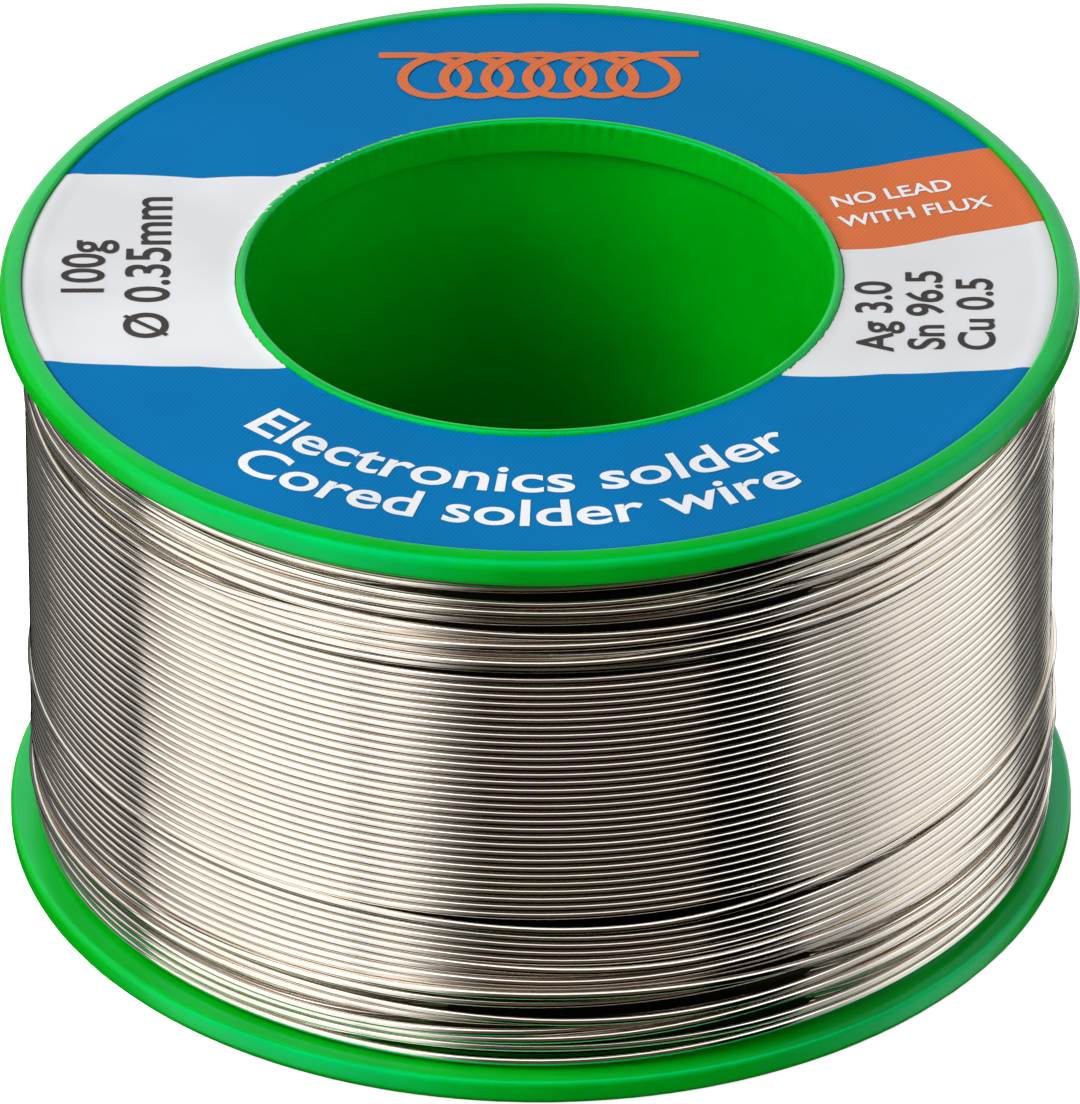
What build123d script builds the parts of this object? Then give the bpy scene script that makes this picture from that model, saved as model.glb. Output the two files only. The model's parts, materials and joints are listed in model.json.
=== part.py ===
"""Solder wire spool: a moulded hub tube between two flanges, wound full of thin solder wire.

The spool stands on its bottom flange. The origin is on the floor, on the spool's axis, and +Z
runs up the axis. Lengths are in millimetres.
"""

import os

from build123d import *

# Driving dimensions of the whole spool
SPOOL_HEIGHT = 25.0
FLANGE_RADIUS = 21.0
BORE_RADIUS = 11.4

# Winding of solder wire
WINDING_RADIUS = 20.1
WINDING_EDGE_ROUNDING = 0.3

# Flange moulding, the same at both ends; depths are counted from its outer face
FLANGE_THICKNESS = 1.2
RIM_WIDTH = 0.85
BORE_LIP_WIDTH = 0.42
LABEL_RECESS_DEPTH = 0.3
RIM_OUTER_ROUNDING = 0.35
RIM_INNER_ROUNDING = 0.12
FLANGE_INNER_ROUNDING = 0.25
BORE_LIP_ROUNDING = 0.2

# Hub tube, whose ends sit in a groove in each flange, outside a short spigot
TUBE_INNER_RADIUS = 11.7
TUBE_WALL = 1.0
GROOVE_FLOOR_DEPTH = 0.9
SPIGOT_DEPTH = 1.4

# Paper ring stuck in the recess of the top flange
LABEL_THICKNESS = 0.1
LABEL_EDGE_GAP = 0.04

TUBE_OUTER_RADIUS = TUBE_INNER_RADIUS + TUBE_WALL
RECESS_INNER_RADIUS = BORE_RADIUS + BORE_LIP_WIDTH
RECESS_OUTER_RADIUS = FLANGE_RADIUS - RIM_WIDTH

# Each flange's section plane has x along the radius and y from its outer face into the spool
BOTTOM_SECTION = Plane(origin=(0, 0, 0), x_dir=(1, 0, 0), z_dir=(0, -1, 0))
TOP_SECTION = Plane(origin=(0, 0, SPOOL_HEIGHT), x_dir=(1, 0, 0), z_dir=(0, 1, 0))


def round_corner(radius_at, depth_at, rounding):
    """Rounds the corner of the sketch being built that lies at this radius and depth."""
    corner = vertices().sort_by_distance((radius_at, depth_at))[0]
    fillet(corner, radius=rounding)


def make_flange(section):
    """One flange: outer rim, label recess, bore lip, spigot and the groove for the tube."""
    with BuildPart() as flange:
        with BuildSketch(section):
            with BuildLine():
                Polyline(
                    (BORE_RADIUS, 0),
                    (RECESS_INNER_RADIUS, 0),
                    (RECESS_INNER_RADIUS, LABEL_RECESS_DEPTH),
                    (RECESS_OUTER_RADIUS, LABEL_RECESS_DEPTH),
                    (RECESS_OUTER_RADIUS, 0),
                    (FLANGE_RADIUS, 0),
                    (FLANGE_RADIUS, FLANGE_THICKNESS),
                    (TUBE_OUTER_RADIUS, FLANGE_THICKNESS),
                    (TUBE_OUTER_RADIUS, GROOVE_FLOOR_DEPTH),
                    (TUBE_INNER_RADIUS, GROOVE_FLOOR_DEPTH),
                    (TUBE_INNER_RADIUS, SPIGOT_DEPTH),
                    (BORE_RADIUS, SPIGOT_DEPTH),
                    close=True,
                )
            make_face()
            round_corner(FLANGE_RADIUS, 0, RIM_OUTER_ROUNDING)
            round_corner(RECESS_OUTER_RADIUS, 0, RIM_INNER_ROUNDING)
            round_corner(FLANGE_RADIUS, FLANGE_THICKNESS, FLANGE_INNER_ROUNDING)
            round_corner(RECESS_INNER_RADIUS, 0, BORE_LIP_ROUNDING)
            round_corner(BORE_RADIUS, 0, BORE_LIP_ROUNDING)
        revolve(axis=Axis.Z)
    return flange


def make_hub_tube():
    """The tube that the wire is wound on, from groove floor to groove floor."""
    tube_length = SPOOL_HEIGHT - 2 * GROOVE_FLOOR_DEPTH
    with BuildPart() as tube:
        with BuildSketch(Plane.XY.offset(GROOVE_FLOOR_DEPTH)):
            Circle(TUBE_OUTER_RADIUS)
            Circle(TUBE_INNER_RADIUS, mode=Mode.SUBTRACT)
        extrude(amount=tube_length)
    return tube


def make_top_label():
    """The printed paper ring on the floor of the top flange's recess."""
    recess_floor = SPOOL_HEIGHT - LABEL_RECESS_DEPTH
    with BuildPart() as label:
        with BuildSketch(Plane.XY.offset(recess_floor)):
            Circle(RECESS_OUTER_RADIUS - LABEL_EDGE_GAP)
            Circle(RECESS_INNER_RADIUS + LABEL_EDGE_GAP, mode=Mode.SUBTRACT)
        extrude(amount=LABEL_THICKNESS)
    return label


def make_solder_winding():
    """The body of wound wire, filling the space between the flanges out to its last layer."""
    with BuildPart() as winding:
        with BuildSketch(Plane.XZ):
            with BuildLine():
                Polyline(
                    (TUBE_OUTER_RADIUS, FLANGE_THICKNESS),
                    (WINDING_RADIUS, FLANGE_THICKNESS),
                    (WINDING_RADIUS, SPOOL_HEIGHT - FLANGE_THICKNESS),
                    (TUBE_OUTER_RADIUS, SPOOL_HEIGHT - FLANGE_THICKNESS),
                    close=True,
                )
            make_face()
            outer_corners = vertices().group_by(Axis.X)[-1]
            fillet(outer_corners, radius=WINDING_EDGE_ROUNDING)
        revolve(axis=Axis.Z)
    return winding


pieces = {
    "bottom_flange": make_flange(BOTTOM_SECTION),
    "top_flange": make_flange(TOP_SECTION),
    "hub_tube": make_hub_tube(),
    "top_label": make_top_label(),
    "solder_winding": make_solder_winding(),
}

os.makedirs("parts", exist_ok=True)
for name, piece in pieces.items():
    piece.part.label = name
    export_step(piece.part, f"parts/{name}.step")
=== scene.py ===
"""Solder wire spool: the looks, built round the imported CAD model. Lengths are in metres."""

import json
import math

import bmesh
import bpy
import numpy as np
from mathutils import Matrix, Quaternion, Vector


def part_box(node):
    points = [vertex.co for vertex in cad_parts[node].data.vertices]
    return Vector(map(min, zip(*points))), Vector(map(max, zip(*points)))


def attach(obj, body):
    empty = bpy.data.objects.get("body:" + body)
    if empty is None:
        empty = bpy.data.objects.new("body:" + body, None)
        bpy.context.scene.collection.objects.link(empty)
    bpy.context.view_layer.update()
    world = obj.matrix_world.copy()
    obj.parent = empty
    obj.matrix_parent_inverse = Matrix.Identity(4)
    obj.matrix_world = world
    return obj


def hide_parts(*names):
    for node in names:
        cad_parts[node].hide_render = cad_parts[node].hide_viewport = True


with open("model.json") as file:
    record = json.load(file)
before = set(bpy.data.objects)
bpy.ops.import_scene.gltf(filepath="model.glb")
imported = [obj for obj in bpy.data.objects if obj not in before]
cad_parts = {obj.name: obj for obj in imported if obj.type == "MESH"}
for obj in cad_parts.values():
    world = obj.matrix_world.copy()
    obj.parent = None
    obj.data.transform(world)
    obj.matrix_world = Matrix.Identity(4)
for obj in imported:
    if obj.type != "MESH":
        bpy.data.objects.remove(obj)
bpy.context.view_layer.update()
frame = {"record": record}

MM = 0.001
BODY = "root"
FULL_TURN = 2 * math.pi

# Places and sizes that the CAD model gives
SPOOL_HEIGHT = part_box("top_flange")[1].z
FLANGE_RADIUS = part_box("top_flange")[1].x
TUBE_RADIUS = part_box("hub_tube")[1].x
TUBE_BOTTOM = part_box("hub_tube")[0].z
TUBE_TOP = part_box("hub_tube")[1].z
WINDING_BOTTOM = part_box("solder_winding")[0].z
WINDING_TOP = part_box("solder_winding")[1].z
WINDING_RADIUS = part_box("solder_winding")[1].x
LABEL_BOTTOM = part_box("top_label")[0].z
LABEL_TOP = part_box("top_label")[1].z
LABEL_OUTER_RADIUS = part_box("top_label")[1].x
SPIGOT_DEPTH = SPOOL_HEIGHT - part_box("top_flange")[0].z
BORE_RADIUS = frame["record"]["mounts"][0]["dims"]["r_mm"] * MM
FLANGE_THICKNESS = WINDING_BOTTOM
RECESS_DEPTH = SPOOL_HEIGHT - LABEL_BOTTOM
GROOVE_DEPTH = TUBE_BOTTOM

# Sizes of the mouldings, the label and the wire, as in the CAD model, but for the crown
TUBE_WALL = 1.0 * MM
RIM_WIDTH = 0.85 * MM
BORE_LIP_WIDTH = 0.42 * MM
LABEL_GAP = 0.04 * MM
RIM_ROUNDING = 0.35 * MM
RIM_INNER_ROUNDING = 0.12 * MM
FLANGE_INNER_ROUNDING = 0.25 * MM
BORE_LIP_ROUNDING = 0.2 * MM
RECESS_INNER_RADIUS = BORE_RADIUS + BORE_LIP_WIDTH
RECESS_OUTER_RADIUS = FLANGE_RADIUS - RIM_WIDTH
LABEL_INNER_RADIUS = RECESS_INNER_RADIUS + LABEL_GAP
WIRE_DIAMETER = 0.35 * MM
WIRE_RADIUS = WIRE_DIAMETER / 2
# Only in the looks: how far the top of the rim slopes down towards its outer edge
RIM_CROWN = 0.14 * MM


# ---------------------------------------------------------------- mesh helpers


def finish_piece(obj, slot, *nodes):
    """Makes an object a piece of the spool that stands for the named CAD nodes."""
    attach(obj, BODY)
    if nodes:
        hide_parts(*nodes)
    return obj


def mesh_object(name, points, faces, sharp_degrees=40):
    """A smooth-shaded mesh object with its normals turned outwards."""
    mesh = bpy.data.meshes.new(name)
    mesh.from_pydata([tuple(p) for p in points], [], [tuple(f) for f in faces])
    work = bmesh.new()
    work.from_mesh(mesh)
    bmesh.ops.recalc_face_normals(work, faces=work.faces)
    work.to_mesh(mesh)
    work.free()
    mesh.shade_smooth()
    mesh.set_sharp_from_angle(angle=math.radians(sharp_degrees))
    obj = bpy.data.objects.new(name, mesh)
    bpy.context.scene.collection.objects.link(obj)
    return obj


def rounded_outline(corners, steps=6):
    """The closed outline through (radius, height, rounding) corners, with arcs at the corners."""
    outline = []
    count = len(corners)
    for i, (x, y, rounding) in enumerate(corners):
        here = np.array([x, y])
        if not rounding:
            outline.append(here)
            continue
        before = np.array(corners[i - 1][:2]) - here
        after = np.array(corners[(i + 1) % count][:2]) - here
        before /= np.linalg.norm(before)
        after /= np.linalg.norm(after)
        centre = here + rounding * (before + after)
        for k in range(steps + 1):
            turn = k / steps * math.pi / 2
            outline.append(centre - rounding * (after * math.cos(turn) + before * math.sin(turn)))
    return np.array(outline)


def split_long_runs(outline, longest):
    """The same outline with points added so that no run is longer than this."""
    filled = []
    for a, b in zip(outline, np.roll(outline, -1, axis=0)):
        pieces = max(1, math.ceil(np.linalg.norm(b - a) / longest))
        filled.extend(a + (b - a) * k / pieces for k in range(pieces))
    return np.array(filled)


def lathe(name, outline, segments, ripple=None):
    """Turns a closed (radius, height) outline about Z. ripple(radius, height, azimuth) moves points."""
    count = len(outline)
    azimuth = np.repeat(np.arange(segments) * FULL_TURN / segments, count)
    radius = np.tile(outline[:, 0], segments)
    height = np.tile(outline[:, 1], segments)
    if ripple:
        radius, height = ripple(radius, height, azimuth)
    points = np.stack([radius * np.cos(azimuth), radius * np.sin(azimuth), height], axis=1)
    faces = []
    for i in range(segments):
        here, there = i * count, (i + 1) % segments * count
        for j in range(count):
            k = (j + 1) % count
            faces.append((here + j, here + k, there + k, there + j))
    return mesh_object(name, points, faces)


def wavy(azimuth, seed, waves, lowest, highest):
    """A smooth closed noise of the azimuth, about -1 to 1, from a few seeded sine waves."""
    draw = np.random.default_rng(seed)
    total = np.zeros_like(azimuth)
    for _ in range(waves):
        cycles = int(draw.integers(lowest, highest))
        total += np.sin(cycles * azimuth + draw.uniform(0, FULL_TURN))
    return total / math.sqrt(waves)


def bell(value, centre, half_width):
    """A smooth bell, 1 at the centre and 0 beyond the half width."""
    share = np.clip(np.abs(value - centre) / half_width, 0, 1)
    return 0.5 + 0.5 * np.cos(math.pi * share)


# ---------------------------------------------------------------- materials

PAPER_SPECULAR = 0.08
PAPER_IOR = 1.2
PLASTIC_IOR = 1.55
# The wave texture's bands are 0.314 of a unit apart at scale 1
SCREEN_PITCH = 0.165 * MM
SCREEN_SCALE = 0.314 / SCREEN_PITCH
SCREEN_SLANT = math.radians(28)


def new_material(name):
    """A material with its node tree and its Principled shader."""
    material = bpy.data.materials.new(name)
    material.use_nodes = True
    tree = material.node_tree
    return material, tree, tree.nodes["Principled BSDF"]


def add_node(tree, kind, **values):
    """A node of this kind, with its properties or its named inputs set."""
    node = tree.nodes.new(kind)
    for key, value in values.items():
        if hasattr(node, key):
            setattr(node, key, value)
        else:
            node.inputs[key.replace("_", " ")].default_value = value
    return node


def object_coordinates(tree, scale=(1, 1, 1), rotation=(0, 0, 0)):
    """Object coordinates, turned and stretched."""
    source = add_node(tree, "ShaderNodeTexCoord")
    mapping = add_node(tree, "ShaderNodeMapping")
    mapping.inputs["Scale"].default_value = scale
    mapping.inputs["Rotation"].default_value = rotation
    tree.links.new(source.outputs["Object"], mapping.inputs["Vector"])
    return mapping.outputs["Vector"]


def noise(tree, scale, detail=3.0, roughness=0.5, vector=None):
    """A noise texture on object coordinates; scale is in cycles per metre."""
    node = add_node(tree, "ShaderNodeTexNoise", Scale=scale, Detail=detail, Roughness=roughness)
    tree.links.new(vector or object_coordinates(tree), node.inputs["Vector"])
    return node.outputs["Fac"]


def ramp(tree, value, stops):
    """A colour ramp through (position, colour) stops."""
    node = add_node(tree, "ShaderNodeValToRGB")
    elements = node.color_ramp.elements
    for position, _ in stops[2:]:
        elements.new(position)
    for element, (position, colour) in zip(elements, stops):
        element.position = position
        element.color = (*colour, 1)
    tree.links.new(value, node.inputs["Fac"])
    return node.outputs["Color"]


def remap(tree, value, low, high):
    """Maps 0..1 to low..high."""
    node = add_node(tree, "ShaderNodeMapRange", clamp=True)
    node.inputs["To Min"].default_value = low
    node.inputs["To Max"].default_value = high
    tree.links.new(value, node.inputs["Value"])
    return node.outputs["Result"]


def bump(tree, shader, height, distance, strength=1.0):
    """A bump from a height between 0 and 1; distance is its depth in metres."""
    node = add_node(tree, "ShaderNodeBump")
    node.inputs["Strength"].default_value = strength
    node.inputs["Distance"].default_value = distance
    tree.links.new(height, node.inputs["Height"])
    tree.links.new(node.outputs["Normal"], shader.inputs["Normal"])


def green_plastic(name, depth=1.0):
    """Glossy green polystyrene: a little light comes through it, and its skin is faintly uneven. A depth
    below 1 darkens the base colour, as painted shade.
    """
    material, tree, shader = new_material(name)
    tone = ramp(
        tree,
        noise(tree, 260, detail=4),
        [(0.3, (0.0, 0.37 * depth, 0.001)), (0.7, (0.0, 0.43 * depth, 0.004))],
    )
    tree.links.new(tone, shader.inputs["Base Color"])
    scuffs = noise(tree, 2200, detail=6, roughness=0.65)
    tree.links.new(remap(tree, scuffs, 0.22, 0.42), shader.inputs["Roughness"])
    bump(tree, shader, scuffs, 0.012 * MM, 0.5)
    shader.inputs["IOR"].default_value = PLASTIC_IOR
    shader.inputs["Specular IOR Level"].default_value = 1.0
    shader.inputs["Specular Tint"].default_value = (0.0, 1.0, 1.0, 1)
    shader.inputs["Subsurface Weight"].default_value = 0.3
    shader.inputs["Subsurface Radius"].default_value = (0.1, 1.0, 0.15)
    shader.inputs["Subsurface Scale"].default_value = 0.9 * MM
    return material


def bright_wire():
    """Drawn tin solder: bright warm metal with faint lines along the wire."""
    material, tree, shader = new_material("drawn_solder")
    along = object_coordinates(tree, scale=(90, 90, 9000))
    lines = noise(tree, 1.0, detail=4, roughness=0.6, vector=along)
    tone = ramp(tree, lines, [(0.3, (0.80, 0.735, 0.655)), (0.7, (0.94, 0.875, 0.79))])
    tree.links.new(tone, shader.inputs["Base Color"])
    tree.links.new(remap(tree, lines, 0.08, 0.17), shader.inputs["Roughness"])
    shader.inputs["Metallic"].default_value = 1.0
    bump(tree, shader, lines, 0.002 * MM, 0.35)
    return material


def shaded_wire():
    """The wire of the deeper layers, painted near black as painted shade where the turns above shade it."""
    material, tree, shader = new_material("inner_solder_painted_shade")
    along = object_coordinates(tree, scale=(90, 90, 6000))
    lines = noise(tree, 1.0, detail=3, vector=along)
    # Near-black base colour: painted shade of the deep layers; the tin itself is as bright as the outer
    # turns.
    tone = ramp(tree, lines, [(0.3, (0.02, 0.018, 0.016)), (0.7, (0.045, 0.04, 0.035))])
    tree.links.new(tone, shader.inputs["Base Color"])
    tree.links.new(remap(tree, lines, 0.3, 0.5), shader.inputs["Roughness"])
    shader.inputs["Metallic"].default_value = 1.0
    return material


def paper(name, colour, screen_colour=None, screen_strength=0.45):
    """Coated label paper in one printed colour, with the fine slanting lines of its print screen."""
    material, tree, shader = new_material(name)
    fibres = noise(tree, 1600, detail=5)
    cloud = noise(tree, 130, detail=2)
    light = tuple(min(1, c * 1.06) for c in colour)
    dark = tuple(c * 0.93 for c in colour)
    tone = ramp(tree, cloud, [(0.35, dark), (0.65, light)])
    if screen_colour:
        turned = object_coordinates(tree, rotation=(0, 0, SCREEN_SLANT))
        screen = add_node(tree, "ShaderNodeTexWave", bands_direction="X", Scale=SCREEN_SCALE)
        tree.links.new(turned, screen.inputs["Vector"])
        mixed = add_node(tree, "ShaderNodeMix", data_type="RGBA")
        tree.links.new(remap(tree, screen.outputs["Fac"], 0.0, screen_strength), mixed.inputs["Factor"])
        tree.links.new(tone, mixed.inputs[6])
        mixed.inputs[7].default_value = (*screen_colour, 1)
        tone = mixed.outputs[2]
    tree.links.new(tone, shader.inputs["Base Color"])
    tree.links.new(remap(tree, fibres, 0.38, 0.55), shader.inputs["Roughness"])
    shader.inputs["Specular IOR Level"].default_value = PAPER_SPECULAR
    shader.inputs["IOR"].default_value = PAPER_IOR
    bump(tree, shader, fibres, 0.006 * MM, 0.5)
    return material


PLASTIC = green_plastic("green_flange_plastic")
# The tube is the same plastic, painted a little darker as painted shade deeper in the bore.
TUBE_PLASTIC_PAINTED_SHADE = green_plastic("green_tube_plastic_painted_shade", 0.97)
WIRE = bright_wire()
INNER_WIRE_PAINTED_SHADE = shaded_wire()
BLUE_PAPER = paper("label_blue", (0.0, 0.138, 0.375), (0.002, 0.205, 0.48))
WHITE_PAPER = paper("label_white", (0.68, 0.69, 0.71))
ORANGE_PAPER = paper("label_orange", (0.61, 0.14, 0.045), (0.72, 0.24, 0.10), 0.3)
PAPER_EDGE = paper("label_paper_edge", (0.80, 0.80, 0.78))
WHITE_INK = paper("ink_white", (0.76, 0.78, 0.82))
DARK_INK = paper("ink_dark", (0.055, 0.047, 0.047))
ORANGE_INK = paper("ink_orange", (0.61, 0.14, 0.045), (0.72, 0.24, 0.10), 0.3)


# ---------------------------------------------------------------- mouldings

LATHE_SEGMENTS = 720


def flange_outline():
    """Half section of a flange: radius, and depth from its outer face into the spool."""
    corners = [
        (BORE_RADIUS, 0, BORE_LIP_ROUNDING),
        (RECESS_INNER_RADIUS, 0, BORE_LIP_ROUNDING),
        (RECESS_INNER_RADIUS, RECESS_DEPTH, 0),
        (RECESS_OUTER_RADIUS, RECESS_DEPTH, 0),
        (RECESS_OUTER_RADIUS, 0, RIM_INNER_ROUNDING),
        (FLANGE_RADIUS, RIM_CROWN, RIM_ROUNDING),
        (FLANGE_RADIUS, FLANGE_THICKNESS, FLANGE_INNER_ROUNDING),
        (TUBE_RADIUS, FLANGE_THICKNESS, 0),
        (TUBE_RADIUS, GROOVE_DEPTH, 0),
        (TUBE_RADIUS - TUBE_WALL, GROOVE_DEPTH, 0),
        (TUBE_RADIUS - TUBE_WALL, SPIGOT_DEPTH, 0),
        (BORE_RADIUS, SPIGOT_DEPTH, 0),
    ]
    return split_long_runs(rounded_outline(corners), 0.6 * MM)


def near(value, target, width):
    """1 where the value is at the target, falling smoothly to 0 at this distance from it."""
    share = np.clip(1 - np.abs(value - target) / width, 0, 1)
    return share * share * (3 - 2 * share)


RIM_FLASH = 0.035 * MM
RIM_DENT = 0.006 * MM
LIP_FLASH = 0.06 * MM
LIP_DROP = 0.04 * MM


def moulding_ripple(seed):
    """Unevenness of a moulding: flash where the mould parts at the rim and at the bore lip."""

    def ripple(radius, depth, azimuth):
        rim_flash = 0.5 + 0.5 * wavy(azimuth, seed, 14, 20, 240)
        lip_flash = 0.5 + 0.5 * wavy(azimuth, seed + 1, 16, 60, 340)
        slow = wavy(azimuth, seed + 2, 4, 2, 9)
        rim_edge = near(radius, FLANGE_RADIUS - 0.1 * MM, 0.14 * MM)
        on_rim = rim_edge * near(depth, RIM_CROWN + 0.1 * MM, 0.16 * MM)
        on_lip = near(radius, BORE_RADIUS, 0.12 * MM) * near(depth, 0.22 * MM, 0.16 * MM)
        depth = depth + RIM_FLASH * on_rim * np.clip(rim_flash, 0, 1.3)
        radius = radius + LIP_FLASH * on_lip * np.clip(lip_flash, 0, 1.2)
        depth = depth + LIP_DROP * on_lip * np.clip(1 - lip_flash, 0, 1.2)
        radius = radius - RIM_DENT * np.clip(slow, 0, 1) * near(radius, FLANGE_RADIUS, 0.3 * MM)
        return radius, depth

    return ripple


def make_flange(name, node, outer_face, inwards, seed):
    """A flange with its outer face at this height; inwards is +1 for the bottom one, -1 for the top."""
    ripple = moulding_ripple(seed)

    def placed(radius, depth, azimuth):
        radius, depth = ripple(radius, depth, azimuth)
        return radius, outer_face + inwards * depth

    obj = lathe(name, flange_outline(), LATHE_SEGMENTS, placed)
    obj.data.materials.append(PLASTIC)
    return finish_piece(obj, "green_plastic", node)


def make_tube():
    """The plain hub tube, end to end in the grooves of the flanges."""
    corners = [
        (TUBE_RADIUS - TUBE_WALL, TUBE_BOTTOM, 0),
        (TUBE_RADIUS, TUBE_BOTTOM, 0),
        (TUBE_RADIUS, TUBE_TOP, 0),
        (TUBE_RADIUS - TUBE_WALL, TUBE_TOP, 0),
    ]
    outline = split_long_runs(rounded_outline(corners), 0.8 * MM)
    obj = lathe("hub_tube_moulding", outline, 256)
    obj.data.materials.append(TUBE_PLASTIC_PAINTED_SHADE)
    return finish_piece(obj, "green_plastic", "hub_tube")


make_flange("top_flange_moulding", "top_flange", SPOOL_HEIGHT, -1, 11)
make_flange("bottom_flange_moulding", "bottom_flange", 0.0, 1, 23)
make_tube()


# ---------------------------------------------------------------- label

# Each edge between two printed fields runs from the bore to the rim through (x, y) points, in mm
FIELD_EDGES = {
    "left_top": [(-8.5, 8.6), (-9.2, 7.9), (-10.3, 7.55), (-13.3, 7.42), (-18.6, 7.72)],
    "left_bottom": [(-9.7, -6.72), (-13.2, -6.57), (-16.1, -6.45), (-19.1, -6.16)],
    "right_bottom": [(9.2, -7.36), (13.2, -7.27), (16.1, -7.1), (18.9, -6.83)],
    "orange_bottom": [(11.7, 1.9), (13.2, 1.99), (14.4, 2.29), (16.1, 2.93), (19.9, 4.08)],
    "orange_top": [(9.0, 7.7), (10.3, 7.57), (11.4, 7.71), (13.2, 8.21), (17.7, 9.56)],
}
# Fields in the order of the azimuth: the edge where each begins, the one where it ends, its paper
FIELDS = [
    ("left_bottom", "right_bottom", 0),
    ("right_bottom", "orange_bottom", 1),
    ("orange_bottom", "orange_top", 2),
    ("orange_top", "left_top", 0),
    ("left_top", "left_bottom", 1),
]
LABEL_RINGS = 36
LABEL_STEP = math.radians(0.6)
LABEL_WAVE = 0.010 * MM
LABEL_CURL = 0.055 * MM
# How far the torn fibres at the bore reach inwards and stand up
TORN_REACH = 0.32 * MM
TORN_RISE = 0.28 * MM


def edge_azimuths(edge, radii):
    """The azimuth of a field edge at each radius."""
    points = np.array(FIELD_EDGES[edge]) * MM
    reach = np.hypot(points[:, 0], points[:, 1])
    azimuth = np.unwrap(np.arctan2(points[:, 1], points[:, 0]))
    return np.interp(radii, reach, azimuth)


def label_height(radius, azimuth):
    """The label's upper surface: slow waves, and a slight curl just inside its outer edge."""
    waves = LABEL_WAVE * wavy(azimuth, 5, 5, 2, 9) * (0.4 + 0.6 * np.sin(radius / (2.6 * MM)))
    curl_here = 0.5 + 0.5 * np.sin(azimuth * 2 + 2.2)
    curl = LABEL_CURL * curl_here * near(radius, LABEL_OUTER_RADIUS - 0.35 * MM, 0.45 * MM)
    return LABEL_TOP + waves + curl


def fray(azimuth):
    """How far the paper is torn along the bore, 0 to 1: most at the far left, a little at the right."""
    left = bell(azimuth % FULL_TURN, math.radians(140), math.radians(42))
    right = 0.35 * bell(azimuth % FULL_TURN, math.radians(33), math.radians(24))
    rough = 0.5 + 0.5 * wavy(azimuth, 7, 16, 60, 300)
    return np.clip((left + right + 0.06) * np.clip(rough, 0, 1.3), 0, 1)


def make_label():
    """The paper ring as one closed solid, with a material for each printed field."""
    radii = np.linspace(LABEL_INNER_RADIUS, LABEL_OUTER_RADIUS, LABEL_RINGS)
    columns, owners = [], []
    for first, last, paper_index in FIELDS:
        start = edge_azimuths(first, radii)
        end = edge_azimuths(last, radii)
        end = end + FULL_TURN * np.ceil((start[0] - end[0]) / FULL_TURN)
        steps = max(2, round((end - start).mean() / LABEL_STEP))
        for k in range(steps):
            columns.append(start + (end - start) * k / steps)
            owners.append(paper_index)
    azimuth = np.array(columns)
    radius = np.array(np.broadcast_to(radii, azimuth.shape))
    torn = fray(azimuth[:, 0])
    radius[:, 0] -= TORN_REACH * torn
    height = label_height(radius, azimuth)
    height[:, 0] += TORN_RISE * np.sqrt(torn)
    across = radius * np.cos(azimuth)
    along = radius * np.sin(azimuth)
    top = np.stack([across, along, height], axis=-1).reshape(-1, 3)
    bottom = top.copy()
    bottom[:, 2] = (height - (LABEL_TOP - LABEL_BOTTOM)).reshape(-1)
    count, below = len(columns), len(top)
    faces, indices = [], []
    for i in range(count):
        here, there = i * LABEL_RINGS, (i + 1) % count * LABEL_RINGS
        for j in range(LABEL_RINGS - 1):
            quad = (here + j, here + j + 1, there + j + 1, there + j)
            faces.append(quad)
            indices.append(owners[i])
            faces.append(tuple(below + v for v in reversed(quad)))
            indices.append(3)
        for j in (0, LABEL_RINGS - 1):
            faces.append((here + j, there + j, below + there + j, below + here + j))
            indices.append(3)
    obj = mesh_object("label_ring", np.concatenate([top, bottom]), faces)
    for material in (BLUE_PAPER, WHITE_PAPER, ORANGE_PAPER, PAPER_EDGE):
        obj.data.materials.append(material)
    obj.data.polygons.foreach_set("material_index", indices)
    return finish_piece(obj, "label_paper", "top_label")


INK_THICKNESS = 0.006 * MM
INK_LIFT = 0.03 * MM


def text_mesh(words, size, bold, stretch=1.0):
    """The outline of some words as flat thin geometry, centred on x, with its baseline on y = 0.

    It is filled at a size in millimetres, where the outlines are far enough apart to fill well.
    """
    curve = bpy.data.curves.new("words", "FONT")
    curve.body = words
    curve.size = size / MM
    curve.offset = bold / MM
    curve.extrude = INK_THICKNESS / MM / 2
    curve.align_x = "CENTER"
    curve.resolution_u = 6
    holder = bpy.data.objects.new("words", curve)
    bpy.context.scene.collection.objects.link(holder)
    bpy.context.view_layer.update()
    evaluated = holder.evaluated_get(bpy.context.evaluated_depsgraph_get())
    mesh = bpy.data.meshes.new_from_object(evaluated)
    bpy.data.objects.remove(holder)
    points = np.array([v.co for v in mesh.vertices]) * MM
    points[:, 0] *= stretch
    return mesh, points


def ink_piece(name, mesh, points, ink):
    """Lays text geometry on the label."""
    across, along = points[:, 0], points[:, 1]
    surface = label_height(np.hypot(across, along), np.arctan2(along, across))
    points[:, 2] += surface + INK_LIFT - INK_THICKNESS
    mesh.vertices.foreach_set("co", points.ravel())
    mesh.materials.clear()
    mesh.materials.append(ink)
    obj = bpy.data.objects.new(name, mesh)
    bpy.context.scene.collection.objects.link(obj)
    return finish_piece(obj, "label_paper")


def straight_text(name, words, size, place, degrees, ink, bold=0.03 * MM, stretch=1.0):
    """Words on a straight line; place is the middle of the baseline, in mm."""
    mesh, points = text_mesh(words, size, bold, stretch)
    turn = math.radians(degrees)
    across = points[:, 0] * math.cos(turn) - points[:, 1] * math.sin(turn)
    along = points[:, 0] * math.sin(turn) + points[:, 1] * math.cos(turn)
    points[:, 0] = across + place[0] * MM
    points[:, 1] = along + place[1] * MM
    return ink_piece(name, mesh, points, ink)


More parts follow.
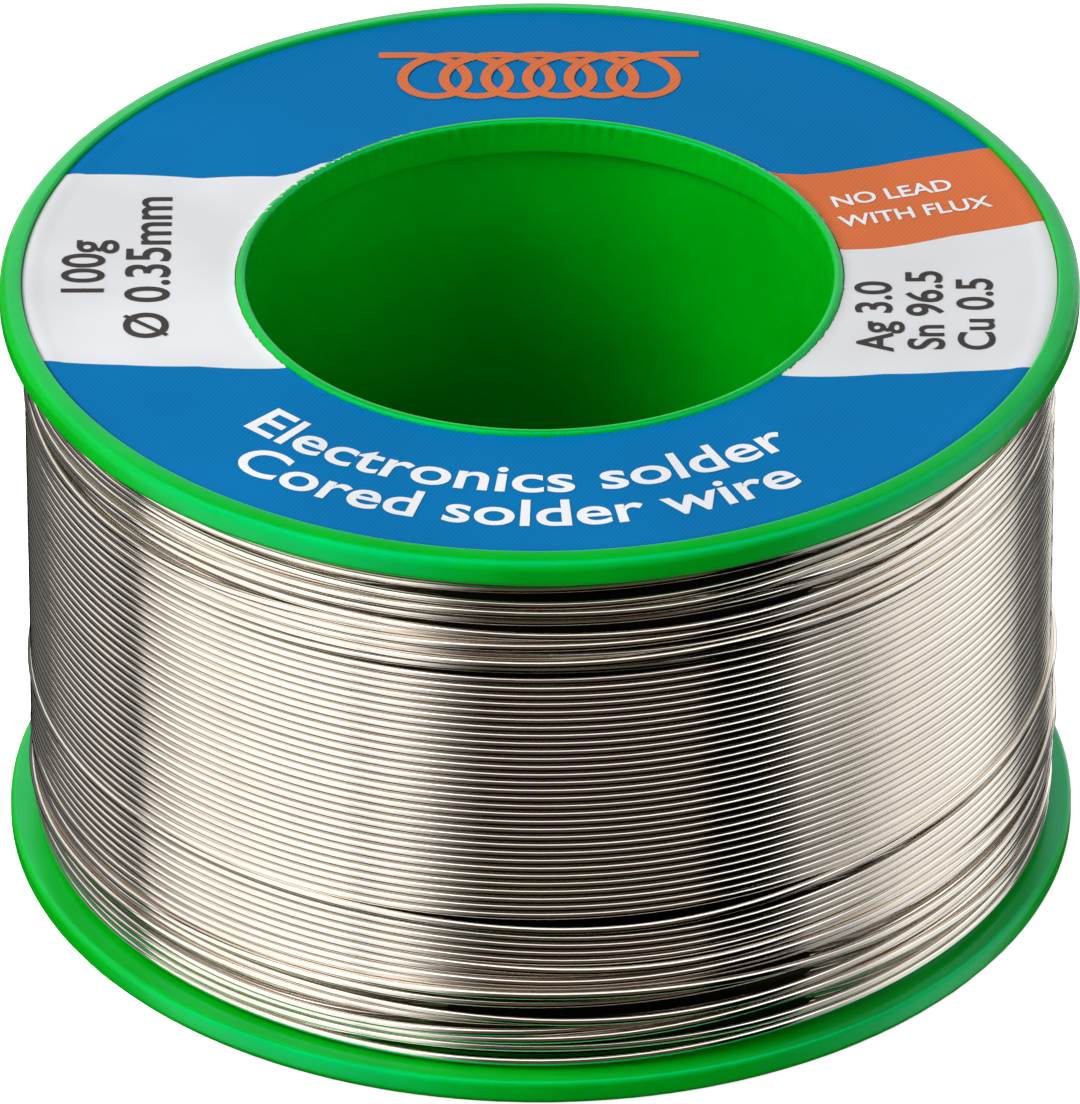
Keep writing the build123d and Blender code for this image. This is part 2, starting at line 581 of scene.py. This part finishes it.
def arc_text(name, words, size, baseline_radius, ink, bold, first_degrees, last_degrees):
    """Words along an arc round the bore, letters' tops inwards; the degrees run from the front to +X."""
    mesh, points = text_mesh(words, size, bold)
    share = (points[:, 0] - points[:, 0].min()) / np.ptp(points[:, 0])
    turn = np.radians(first_degrees + (last_degrees - first_degrees) * share)
    reach = baseline_radius - points[:, 1]
    points[:, 0] = reach * np.sin(turn)
    points[:, 1] = -reach * np.cos(turn)
    return ink_piece(name, mesh, points, ink)


def coil_mark():
    """A plain pictogram of coiled wire on the far side of the label."""
    loops, pitch, size, width = 6, 1.65 * MM, 1.6 * MM, 0.21 * MM
    centre_y = 15.2 * MM
    steps = 40
    turn = np.linspace(-math.pi, (2 * loops - 1) * math.pi, loops * steps + 1)
    across = pitch * (turn / FULL_TURN - (loops - 1) / 2) - 1.05 * size * np.sin(turn)
    along = centre_y - size * np.cos(turn)
    across = np.concatenate([[across[0] - 1.4 * MM], across, [across[-1] + 1.4 * MM]])
    along = np.concatenate([[along[0]], along, [along[-1]]])
    line = np.stack([across, along], axis=1)
    direction = np.gradient(line, axis=0)
    direction /= np.linalg.norm(direction, axis=1, keepdims=True)
    normal = np.stack([-direction[:, 1], direction[:, 0]], axis=1) * width
    low = np.concatenate([line + normal, line - normal])
    over = 0.012 * MM * (1 + np.sin(np.concatenate([[turn[0]], turn, [turn[-1]]])))
    low = np.column_stack([low, np.concatenate([over, over])])
    high = low + (0, 0, INK_THICKNESS)
    points = np.concatenate([low, high])
    count = len(line)
    faces = []
    for i in range(count - 1):
        a, b, c, d = i, i + 1, count + i + 1, count + i
        top_offset = 2 * count
        faces.append((a, b, c, d))
        faces.append((top_offset + d, top_offset + c, top_offset + b, top_offset + a))
        faces.append((a, top_offset + a, top_offset + b, b))
        faces.append((c, top_offset + c, top_offset + d, d))
    for i in (0, count - 1):
        faces.append((i, count + i, 3 * count + i, 2 * count + i))
    mesh = bpy.data.meshes.new("coil_mark")
    mesh.from_pydata([tuple(p) for p in points], [], faces)
    return ink_piece("label_coil_mark", mesh, points, ORANGE_INK)


make_label()
arc_text("label_words_upper", "Electronics solder", 2.6 * MM, 15.75 * MM, WHITE_INK, 0.04 * MM, -46, 38.3)
arc_text("label_words_lower", "Cored solder wire", 2.6 * MM, 18.15 * MM, WHITE_INK, 0.04 * MM, -41, 33.6)
straight_text("label_net_weight", "100g", 2.35 * MM, (-16.95, 0.6), 90, DARK_INK, 0.03 * MM, 0.95)
straight_text("label_diameter", "Ø 0.35mm", 2.45 * MM, (-14.4, 0.75), 90, DARK_INK, 0.03 * MM, 1.0)
straight_text("label_alloy_silver", "Ag 3.0", 2.0 * MM, (13.62, -3.05), 90, DARK_INK, 0.03 * MM)
straight_text("label_alloy_tin", "Sn 96.5", 2.0 * MM, (15.6, -2.6), 90, DARK_INK, 0.03 * MM)
straight_text("label_alloy_copper", "Cu 0.5", 2.0 * MM, (17.55, -2.9), 90, DARK_INK, 0.03 * MM)
straight_text("label_note_upper", "NO LEAD", 1.15 * MM, (13.9, 5.75), 16, WHITE_INK, 0.02 * MM)
straight_text("label_note_lower", "WITH FLUX", 1.15 * MM, (14.8, 4.35), 15, WHITE_INK, 0.02 * MM)
coil_mark()


# ---------------------------------------------------------------- winding

TURN_STEPS = 150
WIRE_SIDES = 10
LAYER_STEP = 0.30 * MM
LAYER_RADIUS = WINDING_RADIUS - WIRE_RADIUS
STEP_HEIGHT = 8.0 * MM
HOLLOW_DEPTH = 0.6 * MM


def tube_along(name, centres, sides, wire_radius, material):
    """A closed tube along a line of points that runs round the Z axis."""
    ahead = np.gradient(centres, axis=0)
    ahead /= np.linalg.norm(ahead, axis=1, keepdims=True)
    outwards = centres * (1, 1, 0)
    outwards /= np.linalg.norm(outwards, axis=1, keepdims=True)
    upwards = np.cross(outwards, ahead)
    upwards /= np.linalg.norm(upwards, axis=1, keepdims=True)
    outwards = np.cross(ahead, upwards)
    count = len(centres)
    around = np.arange(sides) * FULL_TURN / sides
    rings = (
        centres[:, None, :]
        + wire_radius * np.cos(around)[None, :, None] * outwards[:, None, :]
        + wire_radius * np.sin(around)[None, :, None] * upwards[:, None, :]
    )
    points = rings.reshape(-1, 3)
    i, j = np.meshgrid(np.arange(count - 1), np.arange(sides), indexing="ij")
    k = (j + 1) % sides
    faces = np.stack([i * sides + j, i * sides + k, (i + 1) * sides + k, (i + 1) * sides + j], -1)
    faces = [tuple(f) for f in faces.reshape(-1, 4)]
    faces.append(tuple(range(sides)))
    faces.append(tuple(reversed(range((count - 1) * sides, count * sides))))
    obj = mesh_object(name, points, faces, 60)
    obj.data.materials.append(material)
    return obj


def smooth_step(value, start, end):
    """0 before the start and 1 after the end, easing in between."""
    share = np.clip((value - start) / (end - start), 0, 1)
    return share * share * (3 - 2 * share)


def random_waves(position, seed, amplitude, *cycles):
    """Slow swings along the wire; cycles per turn that aren't whole move neighbours differently."""
    draw = np.random.default_rng(seed)
    total = np.zeros_like(position)
    for count in cycles:
        total += amplitude * np.sin(FULL_TURN * count * position + draw.uniform(0, FULL_TURN))
    return total


def add_strays(position, height, radius, strays):
    """Lifts stretches of wire out of their place: middle turn, half length, up and out in diameters."""
    for middle, half_length, up, out in strays:
        share = bell(position, middle, half_length)
        height += share * up * WIRE_DIAMETER
        radius += share * out * WIRE_DIAMETER


PUSH_ROUNDS = 90
PUSH_SHARE = 0.3
SMOOTHING = np.array([1, 2, 3, 4, 3, 2, 1]) / 16


def push_apart(height, radius, low, high, least_radius):
    """Moves neighbouring turns out of each other, within these heights and above this radius."""
    for round_number in range(PUSH_ROUNDS):
        for turns_apart in (1, 2, 3, 4):
            step = turns_apart * TURN_STEPS
            lift, spread = height[step:] - height[:-step], radius[step:] - radius[:-step]
            distance = np.maximum(np.hypot(lift, spread), 1e-9)
            push = np.clip(WIRE_DIAMETER - distance, 0, None) * PUSH_SHARE
            height[step:] += push * lift / distance
            height[:-step] -= push * lift / distance
            radius[step:] += push * spread / distance
            radius[:-step] -= push * spread / distance
        if round_number % 8 == 0:
            height[3:-3] = np.convolve(height, SMOOTHING, "valid")
            radius[3:-3] = np.convolve(radius, SMOOTHING, "valid")
        radius = np.maximum(radius, least_radius)
        height = np.clip(height, low, high)
    return height, radius


# Stray stretches as (middle turn, half length, up, out). A turn starts at the back, its left side is
# at a fraction of 0.25, its front at 0.5 and its right side at 0.75. Turns count from the layer's start
UPPER_STRAYS = [
    (31.53, 0.12, 0.5, 0.2),
    (32.53, 0.13, 1.0, 0.5),
    (34.50, 0.14, 1.0, 0.6),
    (35.37, 0.10, -0.8, 0.4),
    (36.55, 0.14, -0.9, 0.5),
    (36.90, 0.14, 0.8, 0.3),
    (37.36, 0.09, 0.9, 0.5),
    (38.52, 0.15, 1.1, 0.6),
    (39.05, 0.16, -0.8, 0.4),
    (39.60, 0.10, -0.8, 0.4),
    (40.45, 0.13, -0.7, 0.5),
    (41.56, 0.13, 0.6, 0.4),
]
LOWER_STRAYS = [
    (2.60, 0.15, 1.5, 0.8),
    (3.44, 0.10, -0.8, 0.5),
    (4.34, 0.12, 0.8, 0.5),
    (5.56, 0.12, -1.3, 0.8),
    (6.40, 0.10, 1.1, 0.6),
    (7.62, 0.14, -1.1, 0.8),
    (3.05, 0.20, 0.9, 0.5),
    (6.02, 0.20, -1.4, 0.8),
    (9.58, 0.10, 0.8, 0.5),
    (10.70, 0.10, -0.7, 0.6),
    (8.76, 0.09, 0.4, 0.6),
    (11.55, 0.09, -0.7, 0.5),
    (7.50, 0.12, 0.9, 0.5),
]


def turn_heights(position, start, end, spacing):
    """Heights from start to end, where spacing says how far apart the turns lie at each position."""
    risen = np.concatenate([[0], np.cumsum((spacing[1:] + spacing[:-1]) / 2)])
    return start + risen * (end - start) / risen[-1]


def layer_sway(azimuth):
    """The slow rise and fall round the spool that both outer layers share."""
    return 0.045 * MM * np.sin(2 * azimuth + 0.7) + 0.03 * MM * np.sin(3 * azimuth + 2.0)


def upper_layer():
    """The last full layer, from the step up to the top flange, loose under the flange."""
    start, end = STEP_HEIGHT + 0.07 * MM, WINDING_TOP - WIRE_RADIUS
    close_turns, loose_turns = 31, 12
    turns = close_turns + loose_turns
    position = np.arange(turns * TURN_STEPS + 1) / TURN_STEPS
    azimuth = position * FULL_TURN + math.pi / 2
    loose = smooth_step(position, close_turns - 1.5, close_turns + 0.5)
    height = turn_heights(position, start, end, 1 + 0.05 * loose)
    front = 0.2 + bell(position % 1, 0.53, 0.16)
    height += layer_sway(azimuth)
    height += random_waves(position, 3, 0.006 * MM, 2.37, 3.61, 5.23)
    height += loose * front * random_waves(position, 4, 0.07 * MM, 2.17, 3.43, 4.61, 5.37)
    radius = LAYER_RADIUS + random_waves(position, 5, 0.004 * MM, 1.7, 3.3, 4.9)
    radius += loose * random_waves(position, 6, 0.03 * MM, 1.13, 2.71)
    radius -= 0.5 * MM * (1 - smooth_step(position, 0.05, 0.25))
    height += 0.12 * MM * smooth_step(position, 0.5, 0.56) * bell(position, 0.56, 0.2)
    add_strays(position, height, radius, UPPER_STRAYS)
    low = STEP_HEIGHT - 0.3 * MM
    height, radius = push_apart(height, radius, low, end, LAYER_RADIUS - 0.2 * MM)
    return azimuth, height, radius


def lower_layer():
    """The part layer that covers the bottom third; its last turn stands a little proud of the step."""
    start, end = WINDING_BOTTOM + WIRE_RADIUS, STEP_HEIGHT + 0.07 * MM
    turns = 17
    position = np.arange(turns * TURN_STEPS + 1) / TURN_STEPS
    azimuth = position * FULL_TURN + math.pi / 2
    loose = 1 - smooth_step(position, 7, 11)
    height = turn_heights(position, start, end, 1 + 0.15 * loose)
    height += layer_sway(azimuth)
    height += random_waves(position, 13, 0.012 * MM, 2.37, 3.61)
    height += loose * random_waves(position, 14, 0.05 * MM, 2.17, 3.43, 4.37, 5.61)
    height += loose * 0.22 * MM * bell(position % 1, 0.57, 0.15) * smooth_step(position, 0, 2)
    rightwards = 0.5 + 0.5 * np.cos(azimuth - 0.3)
    radius = LAYER_RADIUS + (0.03 + 0.08 * rightwards) * MM
    radius += loose * random_waves(position, 15, 0.035 * MM, 1.13, 2.71)
    leftwards = np.clip(-np.cos(azimuth), 0, 1)
    radius -= 0.25 * MM * leftwards * (1 - smooth_step(position, 0.6, 3.0))
    height -= 0.56 * MM * bell(position % 1, 0.54, 0.088) * smooth_step(position, 4, turns - 0.5)
    last_turn = smooth_step(position, turns - 1.1, turns - 0.85)
    side = np.abs(np.cos(azimuth)) ** 2
    climb = smooth_step(position, turns - 0.48, turns - 0.4)
    climb -= smooth_step(position, turns - 0.3, turns - 0.1)
    height += (0.02 * last_turn + 0.36 * climb + 0.12 * bell(position, turns - 0.68, 0.2)) * MM
    radius += last_turn * (0.03 + 0.05 * side + 0.05 * rightwards) * MM
    add_strays(position, height, radius, LOWER_STRAYS)
    height, radius = push_apart(height, radius, start, end + 0.7 * MM, LAYER_RADIUS - 0.12 * MM)
    tucked = smooth_step(position, turns - 0.07, turns)
    radius -= tucked * 0.75 * MM
    height -= tucked * 0.5 * MM
    return azimuth, height, radius


def layer_below():
    """The layer under the last one, wound the other way. It sinks at the front, where gaps show."""
    low, high = WINDING_BOTTOM + WIRE_RADIUS, WINDING_TOP - WIRE_RADIUS
    turns = math.floor((high - low) / (WIRE_DIAMETER * 1.02))
    steps = 110
    position = np.arange(turns * steps + 1) / steps
    azimuth = -position * FULL_TURN
    height = low + position * (high - low) / turns
    sunk = np.clip(1.6 * bell(position % 1, 0.22, 0.12), 0, 1)
    radius = LAYER_RADIUS - LAYER_STEP - 1.6 * HOLLOW_DEPTH * sunk
    return azimuth, height, radius


def wire_piece(name, route, sides, material):
    """A piece of wire along a route of azimuths, heights and radii."""
    azimuth, height, radius = route
    centres = np.stack([radius * np.cos(azimuth), radius * np.sin(azimuth), height], axis=1)
    obj = tube_along(name, centres, sides, WIRE_RADIUS, material)
    return finish_piece(obj, "solder_wire", "solder_winding")


def make_winding():
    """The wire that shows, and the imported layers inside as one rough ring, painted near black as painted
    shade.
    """
    wire_piece("solder_wire_upper_layer", upper_layer(), WIRE_SIDES, WIRE)
    wire_piece("solder_wire_lower_layer", lower_layer(), WIRE_SIDES, WIRE)
    wire_piece("solder_wire_layer_below", layer_below(), 8, WIRE)
    packed_radius = LAYER_RADIUS - LAYER_STEP - HOLLOW_DEPTH
    corners = [
        (TUBE_RADIUS, WINDING_BOTTOM, 0),
        (packed_radius, WINDING_BOTTOM, 0),
        (packed_radius, WINDING_TOP, 0),
        (TUBE_RADIUS, WINDING_TOP, 0),
    ]
    outline = split_long_runs(rounded_outline(corners), 0.35 * MM)
    packed = lathe("solder_wire_inner_layers", outline, 180)
    # Painted shade: the packed layers are dark metal, standing in for the shadow between and under the
    # turns.
    packed.data.materials.append(INNER_WIRE_PAINTED_SHADE)
    finish_piece(packed, "solder_wire", "solder_winding")


make_winding()


# ---------------------------------------------------------------- stage, light and camera


FLOOR_GLOW = 0.8
WORLD_FILL = 0.2


def make_floor():
    """A plain pale floor, which the bright wire doesn't mirror."""
    half = 1.5
    mesh = bpy.data.meshes.new("floor")
    corners = [(-half, -half, 0), (half, -half, 0), (half, half, 0), (-half, half, 0)]
    mesh.from_pydata(corners, [], [(0, 1, 2, 3)])
    floor = bpy.data.objects.new("floor", mesh)
    bpy.context.scene.collection.objects.link(floor)
    material, _, shader = new_material("pale_floor")
    shader.inputs["Base Color"].default_value = (0.93, 0.93, 0.93, 1)
    shader.inputs["Roughness"].default_value = 0.9
    shader.inputs["Specular IOR Level"].default_value = 0.0
    shader.inputs["Emission Color"].default_value = (1, 1, 1, 1)
    shader.inputs["Emission Strength"].default_value = FLOOR_GLOW
    mesh.materials.append(material)
    floor.visible_glossy = False
    floor.visible_diffuse = False


def make_bore_shade():
    """Keeps the even fill from shining up through the bore, which stands on the floor."""
    under_floor = (0, 0, -0.1 * MM)
    bpy.ops.mesh.primitive_circle_add(
        vertices=64, radius=FLANGE_RADIUS, fill_type="NGON", location=under_floor
    )
    shade = bpy.context.active_object
    shade.name = "bore_shade"
    material, _, shader = new_material("dark_shade")
    shader.inputs["Base Color"].default_value = (0.02, 0.02, 0.02, 1)
    shader.inputs["Roughness"].default_value = 0.9
    shade.data.materials.append(material)
    shade.visible_camera = False


def softbox(
    name, azimuth, elevation, distance, width, height, radiance,
    colour=(1, 1, 1), mirrored=True, lights=True,
):
    """A rectangular light that faces the spool; the azimuth is counted from +X."""
    data = bpy.data.lights.new(name, "AREA")
    data.shape = "RECTANGLE"
    data.size, data.size_y = width, height
    data.color = colour
    data.energy = radiance * math.pi * width * height
    light = bpy.data.objects.new(name, data)
    bpy.context.scene.collection.objects.link(light)
    a, e = math.radians(azimuth), math.radians(elevation)
    away = Vector((math.cos(a) * math.cos(e), math.sin(a) * math.cos(e), math.sin(e)))
    light.location = Vector((0, 0, SPOOL_HEIGHT / 2)) + away * distance
    light.rotation_euler = away.to_track_quat("Z", "Y").to_euler()
    light.visible_camera = False
    light.visible_glossy = mirrored
    light.visible_diffuse = lights
    return light


STRIP_DISTANCE = 0.36
STRIP_HEIGHT = 0.85


def light_strips(name, first_azimuth, step, radiances):
    """Upright strips side by side, from the azimuth of the first one's near edge, each this wide."""
    for i, radiance in enumerate(radiances):
        middle = first_azimuth + (i + 0.5) * step
        width = 2 * STRIP_DISTANCE * math.tan(math.radians(abs(step) / 2))
        softbox(f"{name}_{i}", middle, 8, STRIP_DISTANCE, width, STRIP_HEIGHT, radiance)


# Each softbox gives its azimuth and elevation in degrees, then its distance, width and height in
# metres, then its radiance. The cards and the backdrop are only there to be mirrored
def make_lights():
    """Softboxes at both sides that fade towards the front, then what the gloss mirrors, a key and a fill."""
    softbox("left_softbox", -154, 4, 0.34, 0.325, 0.72, 1.22)
    light_strips("left_fade", -128, 4, [1.1, 1.1, 1.0, 0.6, 0.22, 0.06])
    softbox("right_softbox", 6, 4, 0.34, 0.245, 0.72, 0.88)
    light_strips("right_fade", -14, -5.5, [0.72, 0.5, 0.4, 0.32])
    softbox("top_softbox", -90, 68, 0.5, 0.9, 0.37, 1.4, lights=False)
    softbox("back_left_softbox", 124, 35, 0.5, 0.9, 0.24, 0.95, lights=False)
    softbox("back_right_softbox", 42, 36, 0.5, 0.5, 0.3, 0.6, lights=False)
    softbox("backdrop", 82, -2, 0.6, 0.78, 0.56, 1.1, lights=False)
    softbox("left_card", 150, -2, 0.6, 0.7, 0.5, 0.15, lights=False)
    softbox("right_card", 40, 0, 0.6, 0.3, 0.5, 0.12, lights=False)
    softbox("dim_room", -90, 10, 1.2, 1.6, 1.2, 0.09, (1, 0.75, 0.55), lights=False)
    softbox("key", -168, 42, 0.6, 0.3, 0.3, 12.5, mirrored=False)
    softbox("front_fill", -66, 20, 0.6, 0.3, 0.2, 4.5, mirrored=False)
    world = bpy.data.worlds.new("studio")
    bpy.context.scene.world = world
    world.use_nodes = True
    background = world.node_tree.nodes["Background"]
    background.inputs["Color"].default_value = (1, 1, 1, 1)
    background.inputs["Strength"].default_value = WORLD_FILL
    world.cycles_visibility.glossy = False


CAMERA_ELEVATION = math.radians(32.4)
CAMERA_DISTANCE = 31.25 * FLANGE_RADIUS
CAMERA_TARGET = Vector((-0.0006 * FLANGE_RADIUS, 0, 0.570 * FLANGE_RADIUS + 0.14 * MM))
CAMERA_LENS = 545.0
CAMERA_ROLL = -0.0028


def make_camera():
    """A long lens from the front, well above the top flange."""
    data = bpy.data.cameras.new("camera")
    data.lens = CAMERA_LENS
    data.sensor_width = 36.0
    data.clip_start = 0.01
    data.clip_end = 10.0
    camera = bpy.data.objects.new("camera", data)
    bpy.context.scene.collection.objects.link(camera)
    back = Vector((0, -math.cos(CAMERA_ELEVATION), math.sin(CAMERA_ELEVATION)))
    camera.location = CAMERA_TARGET + back * CAMERA_DISTANCE
    level = back.to_track_quat("Z", "Y")
    camera.rotation_euler = (level @ Quaternion((0, 0, 1), CAMERA_ROLL)).to_euler()
    bpy.context.scene.camera = camera


make_floor()
make_bore_shade()
make_lights()
make_camera()
bpy.context.scene.view_settings.view_transform = "Standard"
